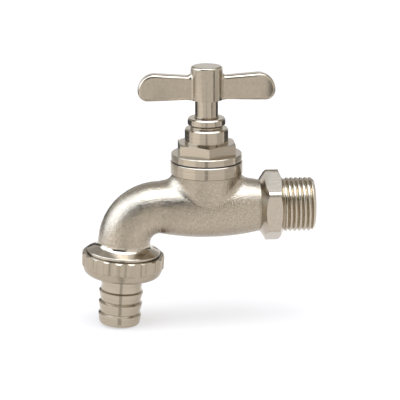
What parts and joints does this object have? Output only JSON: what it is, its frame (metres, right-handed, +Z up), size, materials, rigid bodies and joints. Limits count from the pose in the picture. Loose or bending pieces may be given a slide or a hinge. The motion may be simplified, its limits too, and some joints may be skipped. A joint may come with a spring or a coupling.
{
  "type": "drum faucet",
  "caption": "Nickel-plated brass drum faucet with a T handle, a bent spout, a threaded inlet behind a spanner hexagon, and a barbed hose tail held by a fluted union nut.",
  "frame": {"origin": "on the inlet's axis, at the shoulder where the hexagon ends and the inlet thread starts", "axes": "+X out through the inlet thread, +Z up along the spindle, the spout points to -X and down"},
  "size_m": [0.0901, 0.0318, 0.102],
  "materials": {
    "cast_nickel": "blasted casting, nickel plated, satin",
    "turned_nickel": "turned, nickel plated, bright satin",
    "handle_nickel": "die cast, nickel plated, smooth satin",
    "plain_brass": "turned",
    "steel": "plain",
    "black_rubber": "moulded, matt",
    "fibre": "pressed fibre, matt",
    "packing": "soft packing, matt"
  },
  "bodies": {
    "valve": {"valve_body": "cast_nickel", "bonnet": "turned_nickel", "bonnet_gasket": "fibre", "gland_nut": "turned_nickel", "gland_follower": "plain_brass", "packing_rings": "packing", "packing_washer": "plain_brass"},
    "jumper": {"valve_disc": "plain_brass", "seat_washer": "black_rubber", "clamp_washer": "plain_brass", "washer_nut": "plain_brass"},
    "spindle": {"spindle": "turned_nickel", "jumper_clip": "steel", "handle": "handle_nickel", "handle_set_screw": "steel"},
    "hose_tail": {"hose_tail": "turned_nickel", "outlet_gasket": "black_rubber"},
    "union_nut": {"union_nut": "cast_nickel"}
  },
  "joints": [
    {"name": "valve_lift", "type": "slide", "parent": "valve", "child": "jumper", "axis": [0, 0, 1], "range_m": [0, 0.0045]},
    {"name": "handle_turn", "type": "hinge", "parent": "jumper", "child": "spindle", "pos_m": [-0.0292, 0, 0], "axis": [0, 0, 1], "range_deg": [0, 810]},
    {"name": "tail_drop", "type": "slide", "parent": "valve", "child": "hose_tail", "axis": [-0.0698, 0, -0.9976], "range_m": [0, 0.00454]},
    {"name": "union_turn", "type": "hinge", "parent": "hose_tail", "child": "union_nut", "pos_m": [-0.06117, 0, -0.01293], "axis": [-0.0698, 0, -0.9976], "range_deg": [0, 900]}
  ],
  "couplings": [
    {"joint": "valve_lift", "follows": "handle_turn", "m_per_rad": 0.0003183},
    {"joint": "tail_drop", "follows": "union_turn", "m_per_rad": 0.0002887}
  ]
}
